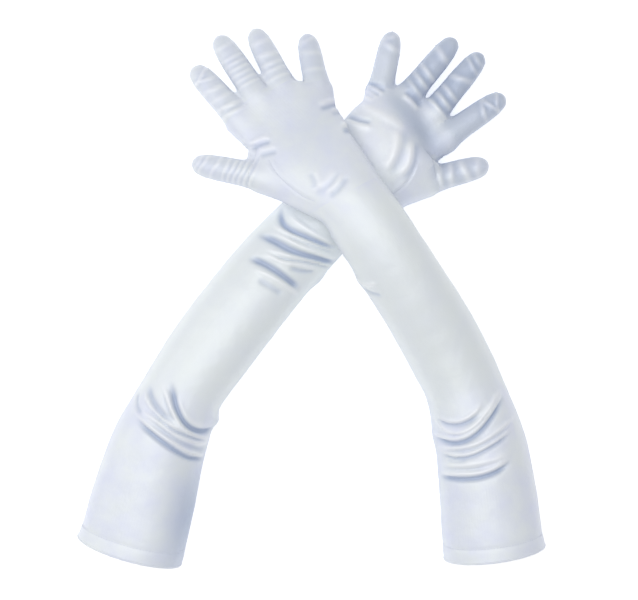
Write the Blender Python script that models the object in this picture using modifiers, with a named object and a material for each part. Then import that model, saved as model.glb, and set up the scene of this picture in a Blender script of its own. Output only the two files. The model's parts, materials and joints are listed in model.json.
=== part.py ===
"""A pair of long satin gloves that reach above the elbow, laid crossed with the palms up.

Metres, +Z up, the table at z = 0 and the origin under the middle of the pair. The right
glove lies on the table. The left glove crosses over its wrist and comes down to the table
at the fingertips and at the cuff. Each glove is a shell of cloth pieces: an upper sleeve, a
forearm sleeve, a palm and a back panel, a thumb, and for each finger a front, a back and
the narrow side strips between them.
"""

import math

import bmesh
import bpy
import numpy as np
from mathutils import Vector

CLOTH = 0.0008  # thickness of the satin
GAP = 0.0003  # least clearance between neighbouring pieces
THREAD = 0.0004  # radius of a line of stitching
SEAM = 0.0007  # radius of a sewn ridge of seam allowance

SLEEVE_SIDES = 24  # faces round a sleeve
SLEEVE_STEP = 0.021  # length of a face along a sleeve
ELBOW_LAP = 0.006  # how far each half of a sleeve runs past the elbow's axis
ELBOW_EASE = 0.045  # over this length the two halves change size to nest
ELBOW_WIDEN = 0.0045  # the outer half's extra half width at the elbow
ELBOW_NARROW = 0.0035  # the inner half's missing half width there
ELBOW_RAISE = 0.0012  # the outer half's extra half height there
ELBOW_LIFT = 0.0022  # the inner half's missing half height, and its underside's height there
HEM_DEPTH = 0.0125  # the turned hem
WRIST_CLEARANCE = 0.0010  # between the palm and the sleeve

FINGER_HALF_WIDTH = 0.0101
FINGER_HALF_HEIGHT = 0.0083
TIP_RADIUS = 0.0082
THUMB_HALF_WIDTH = 0.0112
THUMB_HALF_HEIGHT = 0.0095
BASE_CLEARANCE = 0.0012  # between a finger and the palm's edge
THUMB_CLEARANCE = 0.0024
SIDE_STRIP_ANGLE = math.radians(34)  # half the arc that a side strip takes at its root
SIDE_STRIP_END = 0.74  # a side strip's length, as a share of the finger's
DOME_ANGLES = [math.radians(a) for a in (0, 28, 52, 72, 90)]

PALM_SQUARENESS = 2.5  # exponent of the palm's rounded section; 2 is an ellipse
PALM_EDGE = 0.0011  # half the slit between palm and back panels along a side

# A sleeve's stations run from the wrist to the hem: x, y, middle's height, half width,
# half height. The elbow is the station whose index is named. An edge of the hand runs
# from the wrist to the knuckles, and right and left are as seen looking along the hand.
LEFT = {
    "sleeve": [
        (0.0306, 0.0869, 0.0655, 0.0325, 0.0205),
        (0.0545, 0.0570, 0.0650, 0.0332, 0.0222),
        (0.0725, 0.0300, 0.0580, 0.0345, 0.0245),
        (0.0990, -0.0100, 0.0435, 0.0355, 0.0268),
        (0.1215, -0.0510, 0.0300, 0.0357, 0.0280),
        (0.1431, -0.0950, 0.0262, 0.0365, 0.0290),
        (0.1500, -0.1290, 0.0262, 0.0400, 0.0290),
        (0.1548, -0.1650, 0.0262, 0.0430, 0.0290),
        (0.1588, -0.1970, 0.0262, 0.0448, 0.0290),
        (0.1616, -0.2215, 0.0262, 0.0462, 0.0290),
    ],
    "elbow": 5,
    "right_edge": [(0.0432, 0.1319), (0.0306, 0.1517), (0.0216, 0.1697), (0.0171, 0.1841)],
    "left_edge": [
        (-0.0120, 0.0765),
        (-0.0288, 0.0833),
        (-0.0414, 0.0905),
        (-0.0477, 0.1220),
        (-0.0531, 0.1310),
        (-0.0711, 0.1499),
    ],
    "thumb_hole": (2, 3),  # the two points of the thumb's edge between which it opens
    "crotches": [(-0.0063, 0.1845), (-0.0360, 0.1823), (-0.0536, 0.1679)],
    "thumb_on": "left",
    "tips": {
        "little": (-0.0050, 0.2354, 0.0098),
        "ring": (-0.0504, 0.2408, 0.0098),
        "middle": (-0.0837, 0.2345, 0.0098),
        "index": (-0.1049, 0.2066, 0.0110),
    },
    "thumb_tip": (-0.1053, 0.1184, 0.0300),
    "palm": ((0.0655, 0.0205), (0.0480, 0.0175), (0.0330, 0.0110)),
    "thumb_hole_height": 0.0490,
}
RIGHT = {
    "sleeve": [
        (0.0297, 0.0887, 0.0195, 0.0330, 0.0200),
        (0.0054, 0.0662, 0.0200, 0.0345, 0.0207),
        (-0.0198, 0.0419, 0.0225, 0.0360, 0.0235),
        (-0.0430, 0.0150, 0.0243, 0.0370, 0.0268),
        (-0.0738, -0.0239, 0.0258, 0.0376, 0.0285),
        (-0.1000, -0.0600, 0.0262, 0.0374, 0.0290),
        (-0.1247, -0.0965, 0.0262, 0.0365, 0.0290),
        (-0.1370, -0.1290, 0.0262, 0.0405, 0.0290),
        (-0.1470, -0.1640, 0.0262, 0.0442, 0.0290),
        (-0.1550, -0.1950, 0.0262, 0.0468, 0.0290),
        (-0.1602, -0.2183, 0.0262, 0.0483, 0.0290),
    ],
    "elbow": 6,
    "right_edge": [
        (0.0740, 0.0750),
        (0.0900, 0.0833),
        (0.1000, 0.0905),
        (0.1067, 0.1190),
        (0.1125, 0.1260),
        (0.1206, 0.1337),
    ],
    "left_edge": [(0.0180, 0.1337), (0.0297, 0.1526), (0.0405, 0.1697), (0.0495, 0.1868)],
    "thumb_hole": (2, 3),
    "crotches": [(0.1161, 0.1562), (0.0977, 0.1769), (0.0720, 0.1832)],
    "thumb_on": "right",
    "tips": {
        "index": (0.1719, 0.1823, 0.0105),
        "middle": (0.1512, 0.2201, 0.0105),
        "ring": (0.1283, 0.2327, 0.0105),
        "little": (0.0725, 0.2390, 0.0105),
    },
    "thumb_tip": (0.1584, 0.1193, 0.0125),
    "palm": ((0.0195, 0.0190), (0.0190, 0.0175), (0.0142, 0.0112)),
    "thumb_hole_height": 0.0165,
}
CENTRE_SHIFT = (-0.0001, -0.0068)  # brings the middle of the outline over the origin


def make_material(name, colour, roughness):
    material = bpy.data.materials.new(name)
    material.use_nodes = True
    shader = material.node_tree.nodes["Principled BSDF"]
    shader.inputs["Base Color"].default_value = (*colour, 1.0)
    shader.inputs["Roughness"].default_value = roughness
    shader.inputs["Metallic"].default_value = 0.0
    return material


def satin(name):
    return make_material(name + "_satin", (0.86, 0.88, 0.94), 0.32)


def thread(name):
    return make_material(name + "_thread", (0.90, 0.91, 0.95), 0.55)


def body_empty(name, place, parent=None):
    """The point that a moving body's pieces hang from, on its joint's axis."""
    empty = bpy.data.objects.new(name, None)
    empty.empty_display_size = 0.02
    collection.objects.link(empty)
    if parent:
        empty.parent = parent
        empty.location = Vector(place) - parent.matrix_world.translation
    else:
        empty.location = place
    bpy.context.view_layer.update()
    return empty


def add_piece(name, body, data, material):
    obj = bpy.data.objects.new(name, data)
    data.materials.append(material)
    collection.objects.link(obj)
    obj.parent = body
    return obj


def cloth_piece(name, body, rows, closed=False):
    """A cloth surface through rows of points, thickened inwards."""
    origin = body.matrix_world.translation
    bm = bmesh.new()
    lines = [[bm.verts.new(Vector(p) - origin) for p in row] for row in rows]
    columns = len(rows[0])
    for near, far in zip(lines, lines[1:]):
        for j in range(columns if closed else columns - 1):
            k = (j + 1) % columns
            bm.faces.new((near[j], far[j], far[k], near[k]))
    bmesh.ops.remove_doubles(bm, verts=bm.verts, dist=1e-6)
    mesh = bpy.data.meshes.new(name)
    bm.to_mesh(mesh)
    bm.free()
    mesh.shade_smooth()
    obj = add_piece(name, body, mesh, satin(name))
    wall = obj.modifiers.new("cloth", "SOLIDIFY")
    wall.thickness = CLOTH
    wall.offset = -1.0
    return obj


def thread_piece(name, body, points, radius, closed=False):
    """A line of stitching or a sewn ridge: a thin round bar through the points."""
    origin = body.matrix_world.translation
    curve = bpy.data.curves.new(name, "CURVE")
    curve.dimensions = "3D"
    curve.bevel_depth = radius
    curve.bevel_resolution = 1
    curve.use_fill_caps = not closed
    line = curve.splines.new("POLY")
    line.points.add(len(points) - 1)
    for spot, point in zip(line.points, points):
        spot.co = (*(Vector(point) - origin), 1.0)
    line.use_cyclic_u = closed
    return add_piece(name, body, curve, thread(name))


def smooth_rows(stations, step):
    """Stations set closer together on a smooth curve through the given ones."""
    table = np.array(stations, float)
    ends = [2 * table[0] - table[1], 2 * table[-1] - table[-2]]
    table = np.vstack([ends[0], table, ends[1]])
    rows, index_of = [], []
    for i in range(1, len(table) - 2):
        before, start, end, after = table[i - 1 : i + 3]
        index_of.append(len(rows))
        count = max(1, round(float(np.linalg.norm((end - start)[:3])) / step))
        for k in range(count):
            t = k / count
            rows.append(
                0.5
                * (
                    2 * start
                    + (end - before) * t
                    + (2 * before - 5 * start + 4 * end - after) * t**2
                    + (3 * start - before - 3 * end + after) * t**3
                )
            )
    index_of.append(len(rows))
    rows.append(table[-2])
    return np.array(rows), index_of


def headings(rows):
    """The unit direction along the rows, at each of them."""
    along = np.gradient(rows[:, :3], axis=0)
    return along / np.linalg.norm(along, axis=1)[:, None]


def ring(middle, along, half_width, half_height, angles, table=0.0):
    """Points round a tube, from its right side over the top, flattened where it lies."""
    along = Vector(along).normalized()
    side = along.cross(Vector((0, 0, 1))).normalized()
    up = side.cross(along)
    points = []
    for angle in angles:
        across, rise = half_width * math.cos(angle), half_height * math.sin(angle)
        point = Vector(middle) + side * across + up * rise
        point.z = max(point.z, table)
        points.append(point)
    return points


def full_turn(sides):
    return [2 * math.pi * (k + 0.5) / sides for k in range(sides)]


def ease(distance, reach):
    """1 at the elbow, falling smoothly to 0 at the given reach."""
    share = min(1.0, abs(distance) / reach)
    return 1 - share * share * (3 - 2 * share)


def centred(points):
    """The same points, moved so that the pair's outline lies over the origin."""
    return [(x + CENTRE_SHIFT[0], y + CENTRE_SHIFT[1], *more) for x, y, *more in points]


class Sleeve:
    """The smooth tube from wrist to hem, cut in two at the elbow."""

    def __init__(self, glove):
        stations = centred(glove["sleeve"])
        self.elbow = Vector(stations[glove["elbow"]][:3])
        rows, index_of = smooth_rows(stations, SLEEVE_STEP)
        steps = np.linalg.norm(np.diff(rows[:, :2], axis=0), axis=1)
        self.rows, self.along = rows, headings(rows)
        self.reach = np.concatenate([[0.0], np.cumsum(steps)])
        self.elbow_reach = self.reach[index_of[glove["elbow"]]]
        self.length = self.reach[-1]

    def row(self, reach):
        return np.array([np.interp(reach, self.reach, column) for column in self.rows.T])

    def heading(self, reach):
        return Vector([np.interp(reach, self.reach, column) for column in self.along.T])

    def section(self, reach, angles, inward=0.0, nest=0.0):
        """The ring at a distance from the wrist; nest is -1 on the inner half, 1 on the outer."""
        x, y, z, half_width, half_height = self.row(reach)
        share = ease(reach - self.elbow_reach, ELBOW_EASE)
        half_width += share * nest * (ELBOW_WIDEN if nest > 0 else ELBOW_NARROW) - inward
        half_height += share * nest * (ELBOW_RAISE if nest > 0 else ELBOW_LIFT) - inward
        table = inward + (share * ELBOW_LIFT if nest < 0 else 0.0)
        return ring((x, y, z), self.heading(reach), half_width, half_height, angles, table)


def between(start, end, step):
    count = max(1, round((end - start) / step))
    return [start + (end - start) * k / count for k in range(count + 1)]


def build_sleeve(side, sleeve, forearm, upper, thumb_side):
    around = full_turn(SLEEVE_SIDES)
    elbow, hem = sleeve.elbow_reach, sleeve.length
    inner_half = between(WRIST_CLEARANCE, elbow + ELBOW_LAP, SLEEVE_STEP)
    outer_half = between(elbow - ELBOW_LAP, hem, SLEEVE_STEP)
    rows = [sleeve.section(r, around, nest=-1) for r in inner_half]
    cloth_piece(f"{side}_forearm_sleeve", forearm, rows, closed=True)
    rows = [sleeve.section(r, around, nest=1) for r in outer_half]
    cloth_piece(f"{side}_upper_sleeve", upper, rows, closed=True)

    band = CLOTH + GAP * 1.5
    rows = [sleeve.section(r, around, band) for r in (hem - HEM_DEPTH, hem - 0.0002)]
    cloth_piece(f"{side}_turned_hem", upper, rows, closed=True)
    under_band = band + CLOTH + GAP * 1.5 + THREAD
    stitches = sleeve.section(hem - HEM_DEPTH + 0.002, around, under_band)
    thread_piece(f"{side}_hem_stitching", upper, stitches, THREAD, closed=True)

    # A sleeve's stations run from the wrist, so its right is the hand's left.
    angle = [0.0 if thumb_side == "left" else math.pi]
    inward = CLOTH + SEAM + GAP * 3.5
    line = [sleeve.section(r, angle, inward, nest=-1)[0] for r in inner_half[:-1]]
    thread_piece(f"{side}_forearm_seam", forearm, line, SEAM)
    line = [sleeve.section(r, angle, inward, nest=1)[0] for r in outer_half[1:-1]]
    thread_piece(f"{side}_upper_seam", upper, line, SEAM)


def along_line(points, shares):
    """Points at shares of a bent line's length."""
    points = np.array(points, float)
    reach = np.concatenate([[0.0], np.cumsum(np.linalg.norm(np.diff(points, axis=0), axis=1))])
    return [np.array([np.interp(s * reach[-1], reach, c) for c in points.T]) for s in shares]


def shares_of(points):
    points = np.array(points, float)
    reach = np.concatenate([[0.0], np.cumsum(np.linalg.norm(np.diff(points, axis=0), axis=1))])
    return reach / reach[-1]


class Hand:
    """The palm's outline and thickness, with the places where fingers and thumb begin."""

    def __init__(self, glove, sleeve):
        x, y, _, half_width, _ = sleeve.row(0.0)
        heading = -sleeve.heading(0.0).to_2d().normalized()
        across = Vector((heading.y, -heading.x)) * half_width
        wrist = Vector((x, y)) + heading * WRIST_CLEARANCE
        self.right = [tuple(wrist + across)] + centred(glove["right_edge"])
        self.left = [tuple(wrist - across)] + centred(glove["left_edge"])
        self.knuckles = [self.right[-1], *centred(glove["crotches"]), self.left[-1]]
        self.thumb_on = glove["thumb_on"]
        thumb_edge = self.right if self.thumb_on == "right" else self.left
        first, last = glove["thumb_hole"]
        self.hole = (thumb_edge[first + 1], thumb_edge[last + 1])
        self.hole_shares = tuple(shares_of(thumb_edge)[[first + 1, last + 1]])
        self.palm = np.array(glove["palm"])
        self.hole_height = glove["thumb_hole_height"]
        self.tips = {name: centred([tip])[0] for name, tip in glove["tips"].items()}
        self.thumb_tip = centred([glove["thumb_tip"]])[0]

    def plan(self, s, v):
        """The place seen from above: s runs from right to left, v from wrist to knuckles."""
        right, left = along_line(self.right, [v])[0], along_line(self.left, [v])[0]
        corners = [np.array(p) for p in (self.right[0], self.left[0], self.right[-1], self.left[-1])]
        wrist = corners[0] * (1 - s) + corners[1] * s
        knuckle = along_line(self.knuckles, [s])[0]
        flat = (1 - v) * wrist + v * (corners[2] * (1 - s) + corners[3] * s)
        return right * (1 - s) + left * s + wrist * (1 - v) + knuckle * v - flat

    def height(self, s, v):
        """The middle's height and the half height of the hand there."""
        middle = np.interp(v, (0, 0.5, 1), self.palm[:, 0])
        most = np.interp(v, (0, 0.5, 1), self.palm[:, 1])
        power = 2 + (PALM_SQUARENESS - 2) * min(1.0, 3 * v)
        half = PALM_EDGE + (most - PALM_EDGE) * (1 - abs(2 * s - 1) ** power) ** (1 / power)
        first, last = self.hole_shares
        off_middle = (v - (first + last) / 2) / ((last - first) / 2)
        if abs(off_middle) < 1:
            near = 1 - s if self.thumb_on == "right" else s
            opening = (THUMB_HALF_HEIGHT + 0.0005) * math.sqrt(1 - off_middle**2)
            half = max(half, opening * max(0.0, 1 - 3 * (1 - near)))
        return middle, half

    def panel(self, top):
        knuckle_shares = shares_of(self.knuckles)
        columns = [0.0, 0.012, 0.04]
        for start, end in zip(knuckle_shares, knuckle_shares[1:]):
            columns += [start + (end - start) * k / 3 for k in (0, 1, 2)]
        columns = sorted({round(float(c), 5) for c in [*columns, 0.96, 0.988, 1.0]})
        first, last = self.hole_shares
        lines = [0.0, first * 0.35, first * 0.7, first]
        lines += [first + (last - first) * k / 4 for k in (1, 2, 3)]
        lines += [last, last + (1 - last) * 0.5, 1.0]
        if not top:
            columns = columns[::-1]
        rows = []
        for v in lines:
            row = []
            for s in columns:
                x, y = self.plan(s, v)
                middle, half = self.height(s, v)
                row.append((x, y, middle + half if top else middle - half))
            rows.append(row)
        return rows

    def knuckle_height(self):
        return float(self.palm[-1, 0])


def finger_rows(
    root_right, root_left, root_z, tip, widths, heights, clearance, angle_range, lift, last=1.0
):
    """Rings of part of a finger, from its root across two points to its round tip.

    angle_range gives the arc at a share of the length. A row past last is left out.
    """
    right, left = Vector((*root_right, root_z)), Vector((*root_left, root_z))
    root, tip = (right + left) / 2, Vector(tip)
    along = (tip - root).normalized()
    root = root + along * clearance
    length = (tip - root).length
    level = Vector((along.x, along.y, 0)).normalized()
    root_side = (right - left) / 2
    straight = length - TIP_RADIUS
    rows = []
    for share in (0.0, 0.10, 0.24, 0.42, 0.60, 0.80):
        if share * straight / length > last:
            break
        start, end = angle_range(share * straight / length)
        width = widths[0] + (widths[1] - widths[0]) * min(1.0, share * 3)
        width += (widths[2] - widths[1]) * share
        height = heights[0] + (heights[1] - heights[0]) * min(1.0, share * 4)
        middle = root + along * straight * share
        angles = [start + (end - start) * k / 6 for k in range(7)]
        upright = level if share == 0.0 else along
        points = ring(middle, upright, width, height, angles, table=-1.0)
        if share == 0.0:
            skew = root_side.dot(level)
            points = [p + level * skew * math.cos(a) for p, a in zip(points, angles)]
        rows.append([p + Vector((0, 0, lift)) for p in points])
    if last < 1.0:
        return rows
    start, end = angle_range(1.0)
    angles = [start + (end - start) * k / 6 for k in range(7)]
    for dome in DOME_ANGLES:
        middle = root + along * (straight + TIP_RADIUS * math.sin(dome))
        squeeze = math.cos(dome)
        points = ring(middle, along, widths[2] * squeeze, heights[1] * squeeze, angles, table=-1.0)
        rows.append([p + Vector((0, 0, lift)) for p in points])
    return rows


def build_finger(side, name, hand, index, body, strips):
    """Front, back and side strips of a finger. strips says on which sides a strip is."""
    right, left = hand.knuckles[index], hand.knuckles[index + 1]
    tip = hand.tips[name]
    span = (Vector(right) - Vector(left)).length / 2
    toward = (Vector(tip[:2]) - (Vector(right) + Vector(left)) / 2).normalized()
    across = abs(Vector((toward.y, -toward.x)).dot((Vector(right) - Vector(left)).normalized()))
    root_width = span * across - 0.0008
    widths = (root_width, FINGER_HALF_WIDTH, FINGER_HALF_WIDTH * 0.94)
    heights = (hand.palm[-1, 1] - 0.0004, FINGER_HALF_HEIGHT)
    root_z = hand.knuckle_height()
    lean = math.radians(4.5)

    def opening(share, on):
        return SIDE_STRIP_ANGLE * max(0.0, 1 - (share / 0.85) ** 2) if on else 0.0

    def front(share):
        return opening(share, strips[0]), math.pi - opening(share, strips[1])

    def back(share):
        return math.pi + opening(share, strips[1]), 2 * math.pi - opening(share, strips[0])

    def right_strip(share):
        reach = max(math.radians(4), opening(share, True) - lean)
        return -reach, reach

    def left_strip(share):
        start, end = right_strip(share)
        return math.pi + start, math.pi + end

    shape = (right, left, root_z, tip, widths, heights, BASE_CLEARANCE)
    slit = GAP * 1.3
    cloth_piece(f"{side}_{name}_front", body, finger_rows(*shape, front, slit))
    cloth_piece(f"{side}_{name}_back", body, finger_rows(*shape, back, -slit))
    for on, arc, where in zip(strips, (right_strip, left_strip), ("right", "left")):
        if on:
            toward_thumb = where == hand.thumb_on
            label = "thumb_side" if toward_thumb else "little_side"
            rows = finger_rows(*shape, arc, 0.0, last=SIDE_STRIP_END)
            cloth_piece(f"{side}_{name}_{label}_strip", body, rows)


def build_thumb(side, hand, body):
    low, high = hand.hole
    if hand.thumb_on == "left":
        low, high = high, low
    span = (Vector(low) - Vector(high)).length / 2
    widths = (span - 0.0010, THUMB_HALF_WIDTH, THUMB_HALF_WIDTH * 0.90)
    heights = (THUMB_HALF_HEIGHT - 0.0004, THUMB_HALF_HEIGHT - 0.0008)
    shape = (low, high, hand.hole_height, hand.thumb_tip, widths, heights, THUMB_CLEARANCE)
    rows = finger_rows(*shape, lambda share: (0.0, 2 * math.pi * 6 / 7), 0.0)
    cloth_piece(f"{side}_thumb", body, rows, closed=True)
    inside = CLOTH + GAP + THREAD * 2
    middle = sum(rows[1], Vector()) / len(rows[1])
    seam = [p + (middle - p).normalized() * inside for p in rows[1]]
    thread_piece(f"{side}_thumb_seam", body, seam, THREAD, closed=True)


def finger_hinge(right, left, root_z, half_height):
    """The point at the top of a finger's root, in the palm's surface, where it bends."""
    root = (Vector((*right, root_z)) + Vector((*left, root_z))) / 2
    return root + Vector((0, 0, half_height))


def build_glove(side, glove, forearm):
    sleeve = Sleeve(glove)
    hand = Hand(glove, sleeve)
    upper = body_empty(f"{side}_elbow_axis", sleeve.elbow, forearm)
    build_sleeve(side, sleeve, forearm, upper, hand.thumb_on)
    cloth_piece(f"{side}_palm_panel", forearm, hand.panel(top=True))
    cloth_piece(f"{side}_back_panel", forearm, hand.panel(top=False))
    order = list(glove["tips"])
    for index, name in enumerate(order):
        root_z = hand.knuckle_height()
        right, left = hand.knuckles[index], hand.knuckles[index + 1]
        place = finger_hinge(right, left, root_z, hand.palm[-1, 1])
        body = body_empty(f"{side}_{name}_axis", place, forearm)
        build_finger(side, name, hand, index, body, (index > 0, index < len(order) - 1))
    low, high = hand.hole
    place = finger_hinge(low, high, hand.hole_height, THUMB_HALF_HEIGHT)
    build_thumb(side, hand, body_empty(f"{side}_thumb_axis", place, forearm))


for old in list(bpy.data.objects):
    bpy.data.objects.remove(old)
collection = bpy.data.collections.new("opera_gloves")
bpy.context.scene.collection.children.link(collection)
right_glove = body_empty("right_glove_origin", (0, 0, 0))
left_glove = body_empty("left_glove_origin", (0, 0, 0))
build_glove("right", RIGHT, right_glove)
build_glove("left", LEFT, left_glove)
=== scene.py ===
import json
import math

import bmesh
import bpy
import numpy as np
from mathutils import Matrix, Vector
from mathutils.bvhtree import BVHTree

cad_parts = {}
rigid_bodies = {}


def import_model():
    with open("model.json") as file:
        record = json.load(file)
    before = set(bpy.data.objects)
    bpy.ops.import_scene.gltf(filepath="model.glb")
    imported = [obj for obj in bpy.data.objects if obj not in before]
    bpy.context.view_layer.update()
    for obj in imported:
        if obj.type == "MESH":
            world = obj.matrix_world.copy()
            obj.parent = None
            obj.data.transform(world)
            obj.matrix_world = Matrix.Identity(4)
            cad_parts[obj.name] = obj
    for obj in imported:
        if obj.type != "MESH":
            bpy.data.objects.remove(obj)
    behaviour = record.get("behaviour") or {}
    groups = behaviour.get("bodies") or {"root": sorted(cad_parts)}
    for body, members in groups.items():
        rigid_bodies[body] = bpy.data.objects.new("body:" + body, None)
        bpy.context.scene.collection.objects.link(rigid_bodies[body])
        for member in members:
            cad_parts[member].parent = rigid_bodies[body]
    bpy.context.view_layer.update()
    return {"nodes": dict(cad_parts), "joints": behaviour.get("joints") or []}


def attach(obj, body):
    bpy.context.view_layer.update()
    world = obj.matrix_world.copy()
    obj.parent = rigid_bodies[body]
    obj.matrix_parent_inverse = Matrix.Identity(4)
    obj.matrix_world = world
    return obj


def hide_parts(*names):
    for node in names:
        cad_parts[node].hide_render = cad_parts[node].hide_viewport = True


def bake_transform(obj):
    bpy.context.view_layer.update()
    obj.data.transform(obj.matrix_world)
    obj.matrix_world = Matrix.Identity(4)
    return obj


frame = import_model()
nodes = frame["nodes"]
joints = {j["name"]: j for j in frame["joints"]}
longFingers = ("index", "middle", "ring", "little")
fingerNames = (*longFingers, "thumb")
up = Vector((0, 0, 1))

form = {
    "voxel": 0.0016,  # size of the cloth's mesh
    "soften": 11,  # smoothing steps after the tubes are melted together
    "sides": 48,
    # shares of the way from first to last section, and how many: from the elbow to the
    # wrist, from the elbow to the hem, and from the wrist to the knuckles
    "forearmCuts": (0.1, 0.955, 11),
    "upperCuts": (0.26, 0.93, 5),
    "palmCuts": (0.08, 0.93, 9),
    "step": 0.004,  # between the sleeve's sections once its line is smooth
    "ease": 12,  # smoothing steps of the sleeve's line
    "sleeveRadius": 0.042,  # what turns an angle round the sleeve into a width
    "hemSpare": 0.016,  # cut off again once the sleeve is melted
    "hemTilt": 0.20,  # how much further the hem reaches on top than underneath
    "floorGap": 0.0004,
    "cloth": 0.0008,
}

hand = {
    "fingerWidth": 0.0109,
    "fingerHeight": 0.0085,
    "thumbWidth": 0.0115,
    "thumbHeight": 0.0095,
    # share of the length, width and height from root to tip
    "taper": ((0.0, 1.28, 1.15), (0.1, 1.1, 1.08), (0.3, 1.0, 1.0), (0.6, 0.97, 0.94), (0.8, 0.9, 0.86)),
    # how far each finger's cloth is carried into the palm
    "intoPalm": {"index": 0.042, "middle": 0.030, "ring": 0.030, "little": 0.034, "thumb": 0.026},
    "thumbDrop": 0.016,  # how far the thumb's inner end lies towards the wrist
    "reach": 0.02,  # how far round its middle line a finger's cloth is
    "wrinkleReach": 0.018,
    "fingerRadius": 0.0095,  # as the sleeve's
    # mm outwards, and tenths wider
    "nudge": {
        "left": {
            "index": (1.2, 1.0),
            "middle": (1.2, 1.0),
            "ring": (2.2, 0.6),
            "little": (0.2, 0.1),
            "thumb": (0, 0.2),
        },
        "right": {
            "index": (1.5, 0.6),
            "middle": (1.8, 0.4),
            "ring": (0.5, 0.2),
            "little": (0.2, 0.1),
            "thumb": (0, 0.2),
        },
    },
    # how far the palm's top comes down to the fingers' height, from the wrist to the fingers
    "thinning": {
        "left": (0, 0.06, 0.14, 0.24, 0.36, 0.48, 0.62, 0.76, 0.9),
        "right": (0, -0.03, -0.06, -0.1, -0.16, -0.26, -0.32, -0.1, 0.7),
    },
    "calm": {"left": 60, "right": 22},  # smoothing steps
}


def pointsOf(mesh):
    points = np.zeros(len(mesh.vertices) * 3)
    mesh.vertices.foreach_get("co", points)
    return points.reshape(-1, 3)


def nodePoints(*names):
    return np.array([v.co for n in names for v in nodes[n].data.vertices])


def endMiddle(points, start, along, depth=0.003):
    # the middle of the last ring of a tube that starts at start
    reach = (points - np.array(start)) @ np.array(along)
    last = points[reach > reach.max() - depth]
    return Vector((last.min(0) + last.max(0)) / 2)


def slices(names, start, end, places):
    # the middle and half sizes of some nodes' sections, square to the line from start to end
    along = (end - start).normalized()
    side = along.cross(up).normalized()
    ends = []
    for name in names:
        mesh = nodes[name].data
        points = pointsOf(mesh)
        pairs = np.zeros(len(mesh.edges) * 2, np.int32)
        mesh.edges.foreach_get("vertices", pairs)
        ends.append(points[pairs].reshape(-1, 2, 3))
    ends = np.concatenate(ends) - np.array(start)
    t = ends @ np.array(along)
    found = []
    for place in places:
        cut = (t.min(1) < place) & (t.max(1) > place)
        share = (place - t[cut, 0]) / (t[cut, 1] - t[cut, 0])
        spots = ends[cut, 0] + (ends[cut, 1] - ends[cut, 0]) * share[:, None]
        across, height = spots @ np.array(side), spots[:, 2] + start.z
        middle = start + along * place + side * (across.min() + across.max()) / 2
        middle.z = (height.min() + height.max()) / 2
        found.append((middle, np.ptp(across) / 2, np.ptp(height) / 2))
    return found


def placed(middle, along, halfWidth, halfHeight):
    # the matrix that takes a unit circle to a ring there
    side = along.cross(up).normalized()
    rise = side.cross(along).normalized()
    turn = Matrix((side * halfWidth, rise * halfHeight, along)).transposed().to_4x4()
    return Matrix.Translation(middle) @ turn


def tubeThrough(bm, stations, sides):
    # a closed tube: a circle extruded from station to station
    middles = [s[0] for s in stations]
    count = len(stations)
    ring = bmesh.ops.create_circle(bm, cap_ends=True, segments=sides, radius=1.0)["verts"]
    before = Matrix()
    edges = list({e for v in ring for e in v.link_edges})
    for i, (middle, halfWidth, halfHeight) in enumerate(stations):
        along = middles[min(i + 1, count - 1)] - middles[max(i - 1, 0)]
        matrix = placed(middle, along.normalized(), halfWidth, halfHeight)
        if i:
            made = bmesh.ops.extrude_edge_only(bm, edges=edges)["geom"]
            ring = [g for g in made if isinstance(g, bmesh.types.BMVert)]
            edges = [g for g in made if isinstance(g, bmesh.types.BMEdge)]
        bmesh.ops.transform(bm, matrix=matrix @ before.inverted(), verts=ring)
        before = matrix
    bmesh.ops.holes_fill(bm, edges=edges, sides=0)


class Glove:
    pass


def smoothLine(points, step, rounds=6):
    # the same line with even points, its corners eased
    points = np.array(points)
    run = np.concatenate([[0], np.cumsum(np.linalg.norm(np.diff(points, axis=0), axis=1))])
    at = np.linspace(0, run[-1], int(run[-1] / step) + 1)
    line = np.stack([np.interp(at, run, points[:, k]) for k in range(points.shape[1])], axis=1)
    for _ in range(rounds):
        line[1:-1] = (line[:-2] + line[1:-1] * 2 + line[2:]) / 4
    return line


def readFinger(side, name):
    # a finger's root, tip and direction, moved a little to where its cloth lies
    points = nodePoints(*[n for n in nodes if n.startswith(f"{side}_{name}")])
    hinge = Vector(joints[f"{side}_{name}_curl"]["pos_m"])
    away = np.linalg.norm((points - np.array(hinge))[:, :2], axis=1)
    last = points[away > away.max() * 0.995]
    tip = Vector((last.min(0) + last.max(0)) / 2)
    heights = points[away < hand["reach"], 2]
    root = Vector((hinge.x, hinge.y, (heights.min() + heights.max()) / 2))
    outwards, wider = hand["nudge"][side][name]
    aside = up.cross(Vector((tip.x - root.x, tip.y - root.y, 0)).normalized()) * outwards / 1000
    if side == "right":
        aside.negate()
    root, tip = root + aside, tip + aside
    return {
        "wide": 1 + wider / 10,
        "root": root,
        "tip": tip,
        "along": (tip - root).normalized(),
        "length": (tip - root).length,
    }


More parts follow.
